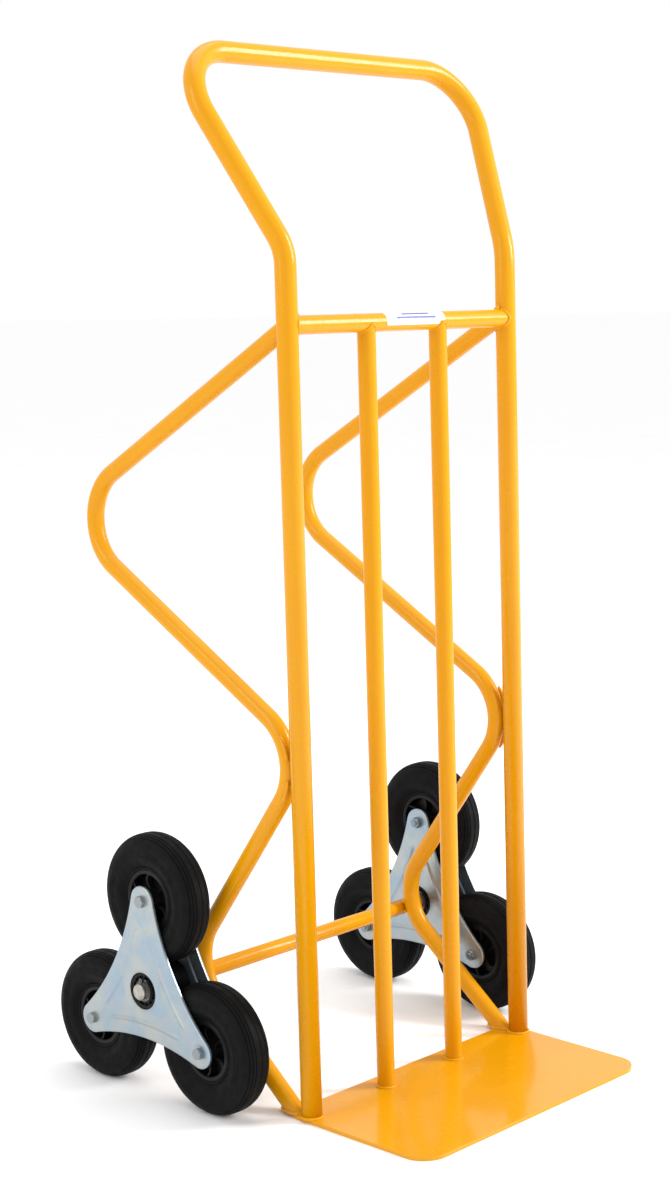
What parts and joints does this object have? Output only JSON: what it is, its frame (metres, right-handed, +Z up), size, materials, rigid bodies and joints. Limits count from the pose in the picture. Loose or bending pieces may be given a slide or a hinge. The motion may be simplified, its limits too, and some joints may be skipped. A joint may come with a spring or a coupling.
{
  "type": "stair climbing sack truck",
  "caption": "Stair-climbing sack truck: bent tube frame with loop handle, side guards, flat toe plate and two spinning three-wheel clusters.",
  "frame": {"origin": "on the underside of the toe plate, on the centre plane, below the foot of the uprights", "axes": "+Z up, +X to the user's right, -Y towards the tip of the toe plate"},
  "size_m": [0.576, 0.5723, 1.2613],
  "materials": {
    "powder_coat": "gloss",
    "weld": "satin",
    "label": "satin",
    "axle_steel": "turned",
    "spring_steel": "satin",
    "zinc_plate": "zinc plated",
    "zinc_fastener": "zinc plated",
    "nylon": "satin",
    "rim_plastic": "gloss",
    "rubber": "matte"
  },
  "bodies": {
    "frame": {"toe_plate": "powder_coat", "main_frame": "powder_coat", "crossbar": "powder_coat", "left_rail": "powder_coat", "right_rail": "powder_coat", "left_guard": "powder_coat", "right_guard": "powder_coat", "frame_welds": "weld", "label": "label", "axle": "axle_steel", "axle_clips": "spring_steel"},
    "left_cluster": {"left_outer_plate": "zinc_plate", "left_inner_plate": "zinc_plate", "left_hub_bush": "nylon", "left_spacer_sleeves": "zinc_fastener", "left_wheel_bolts": "zinc_fastener", "left_bolt_nuts": "zinc_fastener"},
    "right_cluster": {"right_outer_plate": "zinc_plate", "right_inner_plate": "zinc_plate", "right_hub_bush": "nylon", "right_spacer_sleeves": "zinc_fastener", "right_wheel_bolts": "zinc_fastener", "right_bolt_nuts": "zinc_fastener"},
    "left_top_wheel": {"left_top_tyre": "rubber", "left_top_rim": "rim_plastic"},
    "left_rear_wheel": {"left_rear_tyre": "rubber", "left_rear_rim": "rim_plastic"},
    "left_front_wheel": {"left_front_tyre": "rubber", "left_front_rim": "rim_plastic"},
    "right_top_wheel": {"right_top_tyre": "rubber", "right_top_rim": "rim_plastic"},
    "right_rear_wheel": {"right_rear_tyre": "rubber", "right_rear_rim": "rim_plastic"},
    "right_front_wheel": {"right_front_tyre": "rubber", "right_front_rim": "rim_plastic"}
  },
  "joints": [
    {"name": "left_cluster_spin", "type": "hinge", "parent": "frame", "child": "left_cluster", "pos_m": [-0.2526, 0.201, 0.1359], "axis": [1, 0, 0], "continuous": true},
    {"name": "left_top_wheel_spin", "type": "hinge", "parent": "left_cluster", "child": "left_top_wheel", "pos_m": [-0.2526, 0.201, 0.2477], "axis": [1, 0, 0], "continuous": true},
    {"name": "left_rear_wheel_spin", "type": "hinge", "parent": "left_cluster", "child": "left_rear_wheel", "pos_m": [-0.2526, 0.29782, 0.08], "axis": [1, 0, 0], "continuous": true},
    {"name": "left_front_wheel_spin", "type": "hinge", "parent": "left_cluster", "child": "left_front_wheel", "pos_m": [-0.2526, 0.10418, 0.08], "axis": [1, 0, 0], "continuous": true},
    {"name": "right_cluster_spin", "type": "hinge", "parent": "frame", "child": "right_cluster", "pos_m": [0.2526, 0.201, 0.1359], "axis": [1, 0, 0], "continuous": true},
    {"name": "right_top_wheel_spin", "type": "hinge", "parent": "right_cluster", "child": "right_top_wheel", "pos_m": [0.2526, 0.201, 0.2477], "axis": [1, 0, 0], "continuous": true},
    {"name": "right_rear_wheel_spin", "type": "hinge", "parent": "right_cluster", "child": "right_rear_wheel", "pos_m": [0.2526, 0.29782, 0.08], "axis": [1, 0, 0], "continuous": true},
    {"name": "right_front_wheel_spin", "type": "hinge", "parent": "right_cluster", "child": "right_front_wheel", "pos_m": [0.2526, 0.10418, 0.08], "axis": [1, 0, 0], "continuous": true}
  ]
}
